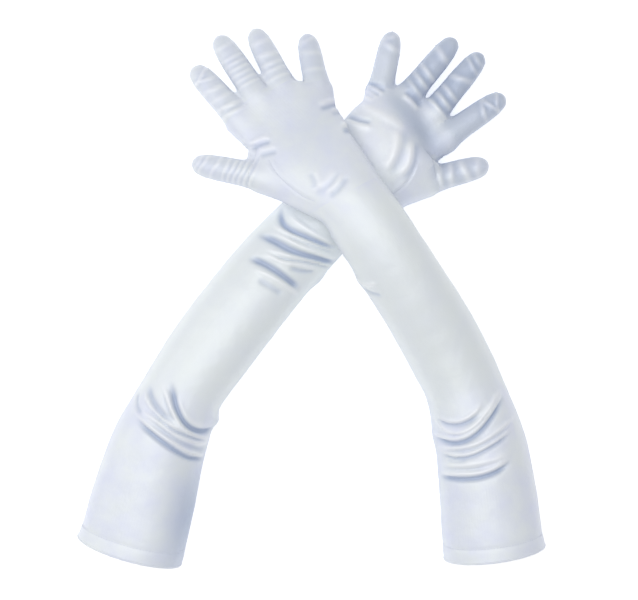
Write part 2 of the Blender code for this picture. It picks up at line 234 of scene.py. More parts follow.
def readSleeve(g):
    # the sleeve's elbow, wrist and hem, and its sections from the wrist to the hem
    forearm = nodePoints(f"{g.side}_forearm_sleeve")
    upperArm = nodePoints(f"{g.side}_upper_sleeve")
    g.elbow = Vector(joints[f"{g.side}_elbow_bend"]["pos_m"])
    hemBand = Vector(nodePoints(f"{g.side}_turned_hem").mean(0))
    g.hemAlong = (hemBand - g.elbow).normalized()
    reach = ((upperArm - np.array(hemBand)) @ np.array(g.hemAlong)).max()
    g.hem = hemBand + g.hemAlong * reach
    away = np.linalg.norm(forearm - np.array(g.elbow), axis=1)
    toWrist = (Vector(forearm[away.argmax()]) - g.elbow).normalized()
    for _ in range(3):
        g.wrist = endMiddle(forearm, g.elbow, toWrist)
        toWrist = (g.wrist - g.elbow).normalized()
    places = np.linspace(*form["forearmCuts"]) * (g.wrist - g.elbow).length
    lower = slices([f"{g.side}_forearm_sleeve"], g.elbow, g.wrist, places)
    places = np.linspace(*form["upperCuts"]) * (g.hem - g.elbow).length
    g.stations = lower[::-1] + slices([f"{g.side}_upper_sleeve"], g.elbow, g.hem, places)
    last = g.stations[-1]
    g.beyondHem = (g.hem + g.hemAlong * form["hemSpare"], last[1] * 1.03, last[2])


def readPalm(g):
    # the palm's sections, thinned towards the fingers, and the hand's directions
    panels = [f"{g.side}_palm_panel", f"{g.side}_back_panel"]
    bases = [Vector(joints[f"{g.side}_{n}_curl"]["pos_m"]) for n in longFingers]
    g.knuckles = sum(bases, Vector()) / 4
    places = np.linspace(*form["palmCuts"]) * (g.knuckles - g.wrist).length
    g.palm = slices(panels, g.wrist, g.knuckles, places)
    for k, share in enumerate(hand["thinning"][g.side]):
        middle, halfWidth, halfHeight = g.palm[k]
        low = middle.z - halfHeight
        halfHeight += (hand["fingerHeight"] * 1.2 - halfHeight) * share
        middle.z = low + halfHeight
        g.palm[k] = (middle, halfWidth * (1 - 0.05 * share), halfHeight)
    g.handAlong = Vector((g.knuckles.x - g.wrist.x, g.knuckles.y - g.wrist.y, 0)).normalized()
    across = Vector((g.handAlong.y, -g.handAlong.x, 0))
    thumbSide = (g.fingers["thumb"]["root"] - g.wrist).dot(across)
    g.toThumb = across if thumbSide > 0 else -across


def readLine(g):
    # one smooth line of sections through palm and sleeve, and the distances along it
    rows = [[*s[0], s[1], s[2]] for s in [*g.palm[:0:-1], *g.stations, g.beyondHem]]
    g.rows = smoothLine(rows, form["step"], form["ease"])
    start = np.linalg.norm(g.rows[:, :3] - np.array(g.wrist), axis=1).argmin()
    g.line = g.rows[start:]
    middle = g.line[:, :3]
    g.heading = np.gradient(middle, axis=0)
    g.heading /= np.linalg.norm(g.heading, axis=1)[:, None]
    run = np.concatenate([[0], np.cumsum(np.linalg.norm(np.diff(middle, axis=0), axis=1))])
    nearest = np.linalg.norm(middle - np.array(g.elbow), axis=1).argmin()
    g.run = run - run[nearest]
    g.wristRun = g.run[0]


def readGlove(side):
    # where the glove's sleeve, hand and fingers are, from the CAD nodes and joints
    g = Glove()
    g.side = side
    g.fingers = {name: readFinger(side, name) for name in fingerNames}
    readSleeve(g)
    readPalm(g)
    readLine(g)
    seam = nodePoints(f"{side}_thumb_seam")
    g.thumbMiddle = Vector(seam.mean(0))
    g.thumbPlane = Vector(np.linalg.svd(seam - seam.mean(0), full_matrices=False)[2][2])
    if g.thumbPlane.dot(g.fingers["thumb"]["along"]) < 0:
        g.thumbPlane.negate()
    return g


def fingerStations(g, name):
    # a finger's sections, from inside the palm to its rounded tip
    f = g.fingers[name]
    thumb = name == "thumb"
    wide = hand["thumbWidth"] if thumb else hand["fingerWidth"]
    tall = hand["thumbHeight"] if thumb else hand["fingerHeight"]
    length = f["length"]
    into = -hand["intoPalm"][name]
    rows = [(into, 0.8, 0.7), (into * 0.6, 1.15, 0.9), (into * 0.3, 1.2, 1.0)]
    rows += [(share * length, w, h) for share, w, h in hand["taper"]]
    rows += [(length - 0.0046, 0.7, 0.7), (length - 0.0015, 0.42, 0.45), (length, 0.14, 0.18)]
    # inside the palm the tube runs towards the palm's middle height
    inPalm = f["root"] + f["along"] * into
    if thumb:
        inPalm += (g.wrist - g.knuckles).normalized() * hand["thumbDrop"]
    nearest = min(g.palm, key=lambda s: (s[0] - inPalm).to_2d().length)
    inPalm.z = nearest[0].z
    stations = []
    for t, w, h in rows:
        place = f["root"] + f["along"] * t if t >= 0 else f["root"].lerp(inPalm, t / into)
        stations.append((place, wide * f["wide"] * w, tall * h))
    return stations


def gloveForm(g):
    # the glove as one closed, filled solid, melted together
    bm = bmesh.new()
    tubeThrough(bm, [(Vector(r[:3]), r[3], r[4]) for r in g.rows], form["sides"])
    for name in g.fingers:
        tubeThrough(bm, fingerStations(g, name), 20)
    bmesh.ops.recalc_face_normals(bm, faces=bm.faces)
    mesh = bpy.data.meshes.new(f"{g.side}Form")
    bm.to_mesh(mesh)
    bm.free()
    obj = bpy.data.objects.new(f"{g.side}Form", mesh)
    bpy.context.scene.collection.objects.link(obj)
    melt = obj.modifiers.new("melt", "REMESH")
    melt.mode = "VOXEL"
    melt.voxel_size = form["voxel"]
    soft = obj.modifiers.new("soft", "SMOOTH")
    soft.factor = 0.5
    soft.iterations = form["soften"]
    made = bpy.data.meshes.new_from_object(obj.evaluated_get(bpy.context.evaluated_depsgraph_get()))
    bpy.data.objects.remove(obj)
    return made


def normalsOf(mesh):
    found = np.zeros(len(mesh.vertices) * 3, np.float32)
    mesh.vertex_normals.foreach_get("vector", found)
    return found.reshape(-1, 3).astype(float)


def onSleeve(g, points):
    # metres along from the elbow (the hem is positive), and the angle round from the top
    middle = g.line[:, :3]
    nearest = np.empty(len(points), int)
    for start in range(0, len(points), 20000):
        part = points[start:start + 20000, None, :2] - middle[None, :, :2]
        nearest[start:start + 20000] = (part ** 2).sum(2).argmin(1)
    heading = g.heading[nearest]
    gap = points - middle[nearest]
    along = g.run[nearest] + (gap * heading).sum(1)
    right = np.cross([0, 0, 1], heading)
    right /= np.linalg.norm(right, axis=1)[:, None]
    rise = np.cross(heading, right)
    halfWidth, halfHeight = g.line[nearest, 3], g.line[nearest, 4]
    angle = np.arctan2((gap * right).sum(1) / halfWidth, (gap * rise).sum(1) / halfHeight)
    return along, angle


# how the cloth lies: paths of mm from the elbow towards the hem and degrees round from
# the top, then the height and width in mm. A crest is above 0 and a valley below
sleeveFolds = {
    "right": [
        # crossing
        ([(-195, -68), (-185, -44), (-183, -26), (-187, -6), (-195, 24), (-202, 56)], -2.0, 2.4),
        ([(-194, -46), (-193, -21), (-198, 18), (-204, 49)], 1.0, 1.7),
        ([(-178, -54), (-178, -38), (-180, -21), (-193, 28), (-201, 58)], 1.0, 1.5),
        ([(-178, -24), (-183, 1), (-192, 29), (-198, 56)], -0.7, 1.2),
        ([(-172, -40), (-176, -14), (-180, 9), (-188, 36), (-197, 72)], 1.0, 1.5),
        ([(-162, -61), (-168, -25), (-171, -1), (-177, 20), (-185, 43), (-195, 90)], -2.2, 2.6),
        ([(-157, -33), (-162, -11), (-167, 6), (-176, 28), (-182, 48), (-191, 90)], 1.0, 1.5),
        ([(-158, -19), (-161, 2), (-171, 22), (-181, 50), (-188, 86)], -1.0, 1.3),
        ([(-154, -28), (-156, -12), (-159, 6), (-168, 25), (-178, 58)], 1.1, 1.5),
        ([(-143, -41), (-148, -13), (-150, 7), (-151, 28), (-152, 56)], -2.2, 2.4),
        ([(-159, 14), (-163, 29), (-168, 42), (-175, 54)], -1.0, 2.0),
        ([(-139, -23), (-141, -8), (-144, 9), (-146, 36), (-147, 62)], 1.0, 1.6),
        ([(-134, -9), (-136, 11), (-138, 37)], -0.8, 2.2),
        # elbow
        ([(14, -53), (18, -38), (21, -22), (24, 0), (26, 23), (29, 44), (29, 67), (27, 90)], 1.2, 1.4),
        ([(19, -42), (22, -31), (24, -19), (28, 3), (32, 26), (35, 47), (33, 70), (32, 90)], -2.0, 2.0),
        ([(-1, -64), (8, -57), (14, -42), (15, -33)], -0.8, 1.6),
        ([(8, -45), (13, -36), (14, -19), (16, -2), (19, 18), (19, 33), (18, 56), (13, 90)], 1.0, 1.5),
        ([(14, -25), (18, -7), (21, 13), (23, 32), (23, 55), (21, 90)], -0.9, 2.2),
        ([(-4, -51), (0, -43), (4, -33), (8, -21), (11, -4), (13, 10), (13, 21), (13, 29)], 1.1, 1.4),
        ([(6, -34), (10, -19), (13, -2), (16, 16), (15, 35), (15, 53), (12, 77)], -1.2, 1.4),
        ([(-10, -52), (-2, -36), (5, -18), (9, -2), (10, 10)], -1.2, 2.4),
        ([(-20, -35), (-10, -17), (-2, -4), (5, 10), (10, 23), (12, 32), (12, 51), (10, 90)], 1.2, 1.5),
        ([(-9, -20), (2, -4), (9, 11)], -0.7, 1.2),
        ([(-21, -23), (-13, -8), (-3, 5), (5, 20), (8, 34), (8, 53), (3, 78), (-2, 90)], -2.4, 2.2),
        ([(-15, -5), (-5, 9), (2, 25), (4, 41), (0, 60)], 0.7, 2.0),
    ],
    "left": [
        # elbow
        ([(-5, -61), (1, -50), (5, -35), (6, -19), (3, -4), (0, 7), (-6, 16)], 1.1, 1.5),
        ([(-2, -62), (4, -46), (8, -31), (9, -16), (7, -3), (3, 9)], -1.4, 1.8),
        ([
            (-4, -70), (3, -59), (10, -49), (15, -35), (16, -23), (14, -10),
            (10, 4), (4, 18), (-6, 37), (-12, 58),
        ], 1.1, 1.4),
        ([(14, -48), (17, -35), (19, -20), (16, -6), (10, 9), (1, 27)], -0.8, 1.1),
        ([
            (8, -90), (14, -62), (19, -43), (20, -28), (19, -14), (15, 1),
            (7, 20), (-2, 39), (-10, 58),
        ], 1.2, 1.4),
        ([(13, -80), (20, -53), (25, -35), (24, -19), (21, -5), (14, 12), (6, 30), (-5, 56)], -1.9, 2.0),
        ([(24, -76), (27, -50), (29, -27), (29, -11), (26, 6), (21, 27), (18, 46), (15, 64)], 1.0, 1.4),
        ([(29, -54), (33, -28), (33, -12), (30, 5), (26, 24), (21, 47)], -0.8, 1.1),
        ([(25, -72), (32, -57), (36, -38), (37, -21), (34, -3), (30, 15), (25, 36), (22, 51)], 1.1, 1.4),
        ([(29, -66), (37, -51), (40, -31), (39, -13), (35, 3), (31, 22), (26, 43)], -1.4, 1.5),
        ([(40, -56), (44, -37), (42, -22)], -0.8, 1.5),
        ([(42, -67), (45, -46), (46, -27), (46, -11), (45, 7), (43, 24), (40, 36)], 0.9, 2.2),
        ([(47, -60), (49, -40), (51, -15), (49, 3)], -0.6, 1.2),
        ([(51, -75), (53, -51), (54, -29), (55, -10), (53, 5), (49, 19), (44, 35)], 1.2, 1.5),
        ([(55, -77), (57, -52), (59, -29), (59, -11), (57, 5), (54, 18), (47, 34)], -2.0, 1.9),
        # edge
        ([(-161, -90), (-150, -68), (-148, -41)], 0.9, 1.6),
        ([(-149, -90), (-141, -67), (-136, -46)], -0.9, 1.8),
    ],
}

# wider bumps: mm from the elbow, degrees round, the two radii and the height
sleeveBumps = {
    "right": [
        (-6, 96, 6, 26, 3.4), (-172, 100, 10, 20, 2.0), (24, 100, 16, 30, 1.2),
        (66, 96, 46, 30, 3.0), (118, -95, 26, 28, -2.0),
    ],
    "left": [
        (14, -100, 10, 30, 1.6), (-152, -96, 8, 24, 1.8),
        (-135, 94, 60, 34, -3.0), (118, 95, 26, 28, -2.0),
    ],
}

# share of the length, lean in mm, height and width in mm
fingerWrinkles = {
    "right": {
        "index": [(0.62, 3, 0.9, 2.2), (0.74, -3, 1.2, 2.0), (0.85, 4, 1.0, 1.8)],
        "middle": [
            (0.06, 2, 1.2, 2.4), (0.19, 2, 1.2, 2.4), (0.32, 2, 1.2, 2.4),
            (0.55, -3, 1.1, 3.2), (0.77, 3, 0.9, 1.9), (0.88, 2, 0.8, 1.8),
        ],
        "ring": [(0.13, 2, 0.8, 2.0), (0.26, 2, 1.1, 2.3), (0.40, 2, 1.2, 2.6), (0.70, 2, 1.0, 3.4)],
        "little": [(0.02, 0, 0.6, 1.6), (0.72, 3, 0.7, 3.0), (0.88, -3, 0.6, 2.4)],
        "thumb": [(0.18, 1, 0.7, 2.6), (0.36, 2, 0.9, 3.0), (0.58, -2, 1.0, 3.4), (0.80, 2, 0.6, 3.0)],
    },
    "left": {
        "index": [
            (0.08, 3, 0.8, 2.0), (0.20, 3, 0.9, 2.2), (0.36, 2, 0.5, 2.2),
            (0.52, 3, 0.6, 2.4), (0.70, 4, 0.9, 1.8), (0.78, -3, 0.9, 1.7),
        ],
        "middle": [
            (0.22, 1, 0.55, 1.5), (0.30, 1, 0.6, 1.5), (0.38, 1, 0.6, 1.5),
            (0.46, 1, 0.6, 1.5), (0.54, 1, 0.6, 1.5), (0.62, 1, 0.6, 1.6),
            (0.80, 1, 0.5, 2.2),
        ],
        "ring": [
            (0.18, 1, 0.5, 1.8), (0.30, 1, 0.6, 1.8), (0.40, 1, 0.6, 2.0),
            (0.54, 2, 0.6, 2.6), (0.74, 1, 0.5, 2.8),
        ],
        "little": [(0.3, 1, 0.4, 2.6), (0.6, 2, 0.4, 3.0), (0.82, -2, 0.5, 2.4)],
        "thumb": [
            (0.06, 3, 0.8, 1.5), (0.14, 3, 0.9, 1.5), (0.22, 3, 0.9, 1.5),
            (0.30, 3, 0.9, 1.5), (0.38, 3, 0.9, 1.5), (0.47, 2, 0.8, 1.5),
            (0.62, 4, 0.8, 1.8), (0.80, 4, 0.8, 1.8), (0.88, 3, 0.6, 1.6),
        ],
    },
}

# soft rises and hollows of the palm: mm from the wrist, mm towards the thumb, the two
# radii and the height
palmShapes = {
    "right": [(58, 26, 24, 18, 1.6), (92, 14, 16, 34, -1.6), (42, -24, 22, 12, 1.0)],
    "left": [(36, 30, 22, 16, 1.2), (20, 6, 18, 20, 0.8)],
}

# folds on the palm: paths of mm from the wrist and mm towards the thumb, then as above
palmFolds = {
    "right": [
        ([(77, -44), (84, -34), (86, -26)], 1.2, 1.8, 1.3, 2.0),
        ([(72, -44), (79, -33), (80, -26)], 1.2, 1.8, 1.3, 2.0),
        ([(66, -43), (74, -33), (76, -26)], 1.0, 1.8, 1.1, 2.0),
        ([(44, -30), (50, -18), (60, -8)], 1.2, 2.2, 1.5, 2.4),
        ([(99, -18), (103, -6), (103, 4)], 1.0, 2.0, 1.0, 2.2),
        ([(80, 20), (69, 34), (61, 38), (51, 39)], 1.4, 2.6, 0.9, 2.8),
        ([(77, 3), (69, 15), (56, 24), (42, 28)], 1.2, 3.4, 0.7, 3.4),
        ([(62, -34), (72, -16), (80, 2), (82, 14)], 0.9, 3.0, 0.0, 3.0),
        ([(38, 12), (30, 24), (26, 34)], -1.0, 3.0, 0.0, 3.0),
    ],
    "left": [
        ([(98, 48), (95, 36), (88, 28)], 1.0, 2.0, 1.1, 2.2),
        ([(88, 46), (84, 38), (78, 31)], 0.7, 2.0, 0.8, 2.2),
        ([(79, -20), (72, -32), (66, -42)], 0.9, 2.2, 1.2, 2.2),
        ([(68, -24), (61, -34), (55, -40)], 0.6, 2.0, 0.7, 2.0),
        ([(52, -20), (46, -28), (38, -38)], 1.2, 2.6, 1.3, 2.8),
        ([(40, 24), (30, 27), (24, 34)], 0.5, 2.2, 0.6, 2.4),
        ([(19, 34), (17, 22), (20, 10)], 0.8, 2.0, 0.8, 2.4),
        ([(30, 40), (25, 26), (28, 10)], 0.5, 2.4, 0.5, 2.8),
    ],
}

# where the thumb is set in: mm from the wrist and mm towards the thumb
thumbLine = {
    "right": [(72, 39), (65, 44), (58, 47), (50, 49), (40, 49), (32, 47), (23, 43)],
    "left": [(75, 45), (67, 48), (59, 49), (50, 49), (42, 49), (32, 48), (22, 44)],
}

# painted shade: how much darker and bluer the cloth's colour is painted, from 0 to 1 (below 0 a painted
# highlight), as the patches above
paintedShadeAmounts = {
    "side": 0.3,  # painted shade where the cloth turns down, away from the lights
    "fold": 0.55,  # painted shade in a palm fold's valley and painted highlight on its crest, for each mm
    # painted shade in the valleys and painted highlight on the crests of the fingers' wrinkles and the
    # sleeves' folds, for each mm
    "wrinkle": 0.8,
    "sleeveFold": 0.58,
    "right": {
        # painted shade on the palm's hollow below the fingers and a painted highlight on the palm's middle
        # (below 0); painted shade on the cuff's side; painted shade on each finger
        "hand": [(94, 18, 13, 36, 0.75), (90, -14, 9, 14, 0.3), (60, 0, 24, 24, -0.3)],
        "sleeve": [(92, 74, 46, 34, 0.75)],
        "fingers": {"index": 0.55, "middle": 0.68, "ring": 0.64, "little": 0.3, "thumb": 0.22},
    },
    "left": {
        # light painted shade on the palm, on the upper sleeve's side and on each finger
        "hand": [(70, -4, 34, 34, 0.12)],
        "sleeve": [(40, -80, 60, 24, 0.15)],
        "fingers": {"index": 0.05, "middle": 0.1, "ring": 0.1, "little": 0.2, "thumb": 0.1},
    },
}

ripple = {
    "height": 0.25,  # mm, the slow unevenness of the sleeves
    "lengths": ((61, 2, 0.3), (37, -1, 1.9), (88, 3, 4.1), (23, 1, 2.6)),  # mm along, turns, phase
}


def ease(x):
    x = np.clip(x, 0, 1)
    return x * x * (3 - 2 * x)


def foldLift(along, across, path, crest, crestWidth, valley, valleyWidth, fade=0.22):
    # how far a fold lifts each point, all in mm: a crest along the path and a valley beside it
    rows = smoothLine([(a, b) for a, b in path], 3.0)
    lift = np.zeros(len(along))
    low, high = rows.min(0) - 16, rows.max(0) + 16
    inside = (along > low[0]) & (along < high[0]) & (across > low[1]) & (across < high[1])
    near = np.nonzero(inside)[0]
    u, v = along[near], across[near]
    best = np.full(len(near), 1e9)
    signed, share = np.zeros(len(near)), np.zeros(len(near))
    for k in range(len(rows) - 1):
        a, d = rows[k], rows[k + 1] - rows[k]
        t = np.clip(((u - a[0]) * d[0] + (v - a[1]) * d[1]) / (d @ d), 0, 1)
        du, dv = u - a[0] - t * d[0], v - a[1] - t * d[1]
        away = np.hypot(du, dv)
        closer = away < best
        best[closer] = away[closer]
        signed[closer] = (away * np.sign(d[1] * du - d[0] * dv))[closer]
        share[closer] = ((k + t) / (len(rows) - 1))[closer]
    window = ease(share / fade) * ease((1 - share) / fade)
    crestWidth, valleyWidth = crestWidth * 1.15, valleyWidth * 1.15
    offset = (crestWidth + valleyWidth) * 0.85
    shape = crest * np.exp(-(signed / crestWidth) ** 2)
    shape -= valley * np.exp(-((signed - offset) / valleyWidth) ** 2)
    lift[near] = shape * window
    return lift


def past(points, point, normal):
    return (points - np.array(point)) @ np.array(normal)


def onHand(g, points):
    # metres from the wrist towards the fingers, and across towards the thumb
    gap = points - np.array(g.wrist)
    return gap @ np.array(g.handAlong), gap @ np.array(g.toThumb)


def onFinger(f, points):
    # metres from the root towards the tip, and the angle round from the top
    along = np.array(f["along"])
    gap = points - np.array(f["root"])
    t = gap @ along
    right = np.array(up.cross(f["along"]).normalized())
    rise = np.cross(along, right)
    x, z = gap @ right, gap @ rise
    return t, np.arctan2(x, z)


def nearestFinger(g, points, names=fingerNames):
    # which finger's middle line each point is nearest to, and how far away that is
    away = []
    for name in names:
        f = g.fingers[name]
        gap = points - np.array(f["root"])
        t = np.clip(gap @ np.array(f["along"]), 0, f["length"])
        away.append(np.linalg.norm(gap - t[:, None] * np.array(f["along"]), axis=1))
    away = np.array(away)
    return away.argmin(0), away.min(0)


def hemRun(g, angle):
    # how far along the sleeve its edge is, at an angle round it
    height = g.line[-1, 4]
    return float(g.run[-1]) - form["hemSpare"] + form["hemTilt"] * height * np.cos(angle)


def calm(mesh, weights, rounds):
    # evens out a part of the surface: each point moves towards the middle of its neighbours
    points = pointsOf(mesh)
    ends = np.zeros(len(mesh.edges) * 2, np.int32)
    mesh.edges.foreach_get("vertices", ends)
    a, b = ends[0::2], ends[1::2]
    size = len(points)
    neighbours = np.bincount(ends, minlength=size)[:, None]
    for _ in range(rounds):
        total = np.empty_like(points)
        for k in range(3):
            total[:, k] = np.bincount(a, points[b, k], size) + np.bincount(b, points[a, k], size)
        points += weights[:, None] * (total / neighbours - points) * 0.9
    mesh.vertices.foreach_set("co", points.ravel())
    mesh.update()


def patch(x, y, middleX, middleY, reachX, reachY):
    # 1 in the middle of a soft round patch, and 0 well away from it
    return np.exp(-((x - middleX) / reachX) ** 2 - ((y - middleY) / reachY) ** 2)


def calmPalm(g):
    # evens out the palm's top between the wrist and the fingers' roots
    points, normals = pointsOf(g.mesh), normalsOf(g.mesh)
    fromWrist = onHand(g, points)[0]
    which = nearestFinger(g, points)[0]
    fromRoot = np.zeros(len(points))
    for k, name in enumerate(fingerNames):
        fromRoot[which == k] = onFinger(g.fingers[name], points[which == k])[0]
    flat = ease((normals[:, 2] + 0.1) / 0.6) * ease((fromWrist + 0.02) / 0.02)
    flat *= ease((0.007 - fromRoot) / 0.012)
    calm(g.mesh, flat, hand["calm"][g.side])


def layOnSleeve(g, along, angle):
    # how far the sleeve's folds lift each point in mm, and how much painted shade (darker, bluer colour) or
    # painted highlight (below 0) each point gets
    halfWidth = form["sleeveRadius"] * 1000
    u, v, degrees = along * 1000, angle * halfWidth, np.degrees(angle)
    stitched = (hemRun(g, angle) - sewing["hemDepth"]) * 1000
    lift = 0.25 * ease((u - stitched) / 4) - 0.4 * np.exp(-((u - stitched) / 1.3) ** 2)
    folds = np.zeros(len(u))
    for path, height, width in sleeveFolds[g.side]:
        line = [(a, math.radians(b) * halfWidth) for a, b in path]
        folds += foldLift(u, v, line, height, width, 0, 1)
    # the folds fade where the cloth turns down at the edges
    folds *= 1 - 0.7 * np.exp(-((np.abs(degrees) - 94) / 17) ** 2)
    relief = folds * 1.4
    for *place, height in sleeveBumps[g.side]:
        relief += height * patch(u, degrees, *place)
    for length, turns, phase in ripple["lengths"]:
        wave = np.sin(u * 2 * math.pi / length + turns * angle + phase)
        relief += wave * ripple["height"] / len(ripple["lengths"])
    # painted shade in the folds' valleys and painted highlight on their crests
    deep = -folds * paintedShadeAmounts["sleeveFold"]
    # painted shade patches on the sleeve's sides
    for *place, amount in paintedShadeAmounts[g.side]["sleeve"]:
        deep += amount * patch(u, degrees, *place)
    onArm = ease((along - g.wristRun + 0.004) / 0.012)
    return lift + relief * onArm, deep * onArm, onArm


def layOnPalm(g, fromWrist, toThumb, onTop):
    # the same for the palm: its rises and hollows and its folds, with painted shade in the folds' valleys and
    # painted highlight on their crests
    lift, deep = np.zeros(len(fromWrist)), np.zeros(len(fromWrist))
    for *place, height in palmShapes[g.side]:
        lift += height * patch(fromWrist, toThumb, *place) * ease((fromWrist + 10) / 20)
    for path, *sizes in palmFolds[g.side]:
        fold = foldLift(fromWrist, toThumb, path, *sizes)
        lift += fold
        # painted shade in a fold's valley, painted highlight on its crest
        deep -= fold * paintedShadeAmounts["fold"]
    # the sewn line round the thumb's root, between two soft rolls
    line = thumbLine[g.side]
    lift += foldLift(fromWrist, toThumb, line, -1.1, 1.2, 0, 1.0, 0.1)
    lift += foldLift(fromWrist, toThumb, line, 0.9, 3.0, 0, 1.0, 0.1)
    return lift * onTop, deep * onTop


def layOnFingers(g, points):
    # the same for the fingers: their wrinkles, with painted shade in the valleys and painted highlight on the
    # crests, and a painted shade over each finger
    lift, deep = np.zeros(len(points)), np.zeros(len(points))
    which, away = nearestFinger(g, points)
    for k, name in enumerate(fingerNames):
        f = g.fingers[name]
        mine = np.nonzero((which == k) & (away < hand["wrinkleReach"]))[0]
        t, turn = onFinger(f, points[mine])
        for share, lean, height, width in fingerWrinkles[g.side][name]:
            place = t * 1000 - share * f["length"] * 1000 - lean * np.sin(turn)
            shape = np.exp(-(place / width) ** 2) - 0.45 * np.exp(-(place / width / 2.2) ** 2)
            shape *= height * np.maximum(0, np.cos(turn)) ** 0.8 * ease((t + 0.002) / 0.006)
            lift[mine] += 1.3 * shape
            # painted shade in a wrinkle's valley, painted highlight on its crest
            deep[mine] -= shape * paintedShadeAmounts["wrinkle"]
        # painted shade over the finger from its root on
        deep[mine] += paintedShadeAmounts[g.side]["fingers"][name] * ease((t + 0.004) / 0.014)
    return lift, deep


def settle(g):
    # lays the folds, wrinkles and hollows into the melted form, and stores their painted shade and painted
    # highlight as a point attribute
    mesh = g.mesh
    along, angle = onSleeve(g, pointsOf(mesh))
    calmPalm(g)
    points, normals = pointsOf(mesh), normalsOf(mesh)
    fromWrist, toThumb = (x * 1000 for x in onHand(g, points))
    onTop = ease((normals[:, 2] + 0.1) / 0.5)
    sleeveLift, sleevePaintedShade, onArm = layOnSleeve(g, along, angle)
    palmLift, palmPaintedShade = layOnPalm(g, fromWrist, toThumb, onTop)
    fingerLift, fingerPaintedShade = layOnFingers(g, points)
    # painted shade where the cloth turns down, away from the lights, plus the painted shade and highlight of
    # the folds and wrinkles
    deep = paintedShadeAmounts["side"] * (1 - ease(normals[:, 2] / 0.6)) + sleevePaintedShade + palmPaintedShade + fingerPaintedShade
    # painted shade and painted highlight patches on the hand
    for *place, amount in paintedShadeAmounts[g.side]["hand"]:
        deep += amount * patch(fromWrist, toThumb, *place) * (1 - onArm)
    points += normals * ((sleeveLift + palmLift + fingerLift) / 1000)[:, None]
    points[:, 2] = np.maximum(points[:, 2], form["floorGap"])
    mesh.vertices.foreach_set("co", points.ravel())
    mesh.update()
    # the painted shade (above 0) and painted highlight (below 0) that the material mixes into the colour
    mesh.attributes.new("deep", "FLOAT", "POINT").data.foreach_set("value", deep.astype(np.float32))


cutting = {
    "rootGap": 0.004,  # how far past its hinge a finger's cloth starts
    "stripAngle": 34,  # degrees up and down from the side at a finger's root
    "stripEnd": 0.8,  # share of the finger's length where the side strips run out
    "seamSink": 0.00035,  # how deep a sewn edge lies in the cloth
    "snap": 0.00022,
}


def near(bm, middle, reach):
    middle = Vector(middle)
    return [f for f in bm.faces if (f.calc_center_median() - middle).length < reach]


def slit(bm, faces, point, normal, drop=False):
    # cuts the faces along a plane, and drops what is past it if asked
    faces = [f for f in faces if f.is_valid]
    geometry = list({*faces, *(e for f in faces for e in f.edges), *(v for f in faces for v in f.verts)})
    plane = {"plane_co": point, "plane_no": normal, "dist": cutting["snap"]}
    bmesh.ops.bisect_plane(bm, geom=geometry, clear_outer=drop, **plane)


def fingerPlanes(f):
    # the planes above and below a finger's side strips, and the one through its middle
    side = up.cross(f["along"]).normalized()
    rise = f["along"].cross(side).normalized()
    height = hand["fingerHeight"] * math.sin(math.radians(cutting["stripAngle"]))
    end = f["root"] + f["along"] * f["length"] * cutting["stripEnd"]
    planes = []
    for sign in (1, -1):
        start = f["root"] + rise * height * sign
        planes.append((end, (end - start).normalized().cross(side).normalized() * -1))
    return *planes, (f["root"], rise)


def centresOf(bm):
    return np.array([f.calc_center_median() for f in bm.faces])


def fingerStart(f):
    # where a finger's own cloth begins
    return f["root"] + f["along"] * cutting["rootGap"]


def cutForm(g, bm):
    # cuts the form where the real glove is sewn and where its joints are
    slit(bm, list(bm.faces), g.hem, (g.hemAlong - up * form["hemTilt"]).normalized(), drop=True)
    slit(bm, near(bm, g.wrist, 0.06), g.wrist, g.toElbow)
    for name in longFingers:
        f = g.fingers[name]
        start = fingerStart(f)
        slit(bm, near(bm, start, 0.019), start, f["along"])
        middle = f["root"].lerp(f["tip"], 0.55)
        for point, normal in fingerPlanes(f):
            mine = [x for x in near(bm, middle, 0.05) if (x.calc_center_median() - start).dot(f["along"]) > 0]
            which, away = nearestFinger(g, np.array([x.calc_center_median() for x in mine]), longFingers)
            own = (which == longFingers.index(name)) & (away < hand["reach"])
            slit(bm, [x for x, y in zip(mine, own) if y], point, normal)
    slit(bm, near(bm, g.thumbMiddle, 0.045), g.thumbMiddle, g.thumbPlane)
    around = near(bm, g.handMiddle, 0.1)
    handFaces = [f for f in around if (f.calc_center_median() - g.wrist).dot(g.toElbow) < 0]
    slit(bm, handFaces, g.handMiddle, g.handUp)
    bmesh.ops.dissolve_degenerate(bm, dist=0.00002, edges=bm.edges)


def fingerPieces(g, name, centres):
    # which faces of a finger belong to its front, its back and its side strips
    f = g.fingers[name]
    across = np.array(up.cross(f["along"]).normalized())
    rise = np.cross(np.array(f["along"]), across)
    gap = centres - np.array(f["root"])
    along = gap @ np.array(f["along"])
    height = hand["fingerHeight"] * math.sin(math.radians(cutting["stripAngle"]))
    edge = height * np.maximum(0, 1 - along / (f["length"] * cutting["stripEnd"]))
    top = gap @ rise > 0
    toLittle = np.array(g.fingers["little"]["root"] - g.fingers["index"]["root"])
    littleSide = (gap @ across) * (across @ toLittle) > 0
    front, back = gap @ rise > edge, gap @ rise <= -edge
    strip = ~front & ~back
    strips = []
    for label, onSide in (("little_side_strip", littleSide), ("thumb_side_strip", ~littleSide)):
        if f"{g.side}_{name}_{label}" in nodes:
            strips.append((f"{name}_{label}", strip & onSide))
        else:
            front, back = front | (strip & onSide & top), back | (strip & onSide & ~top)
    return [(f"{name}_front", front), (f"{name}_back", back), *strips]


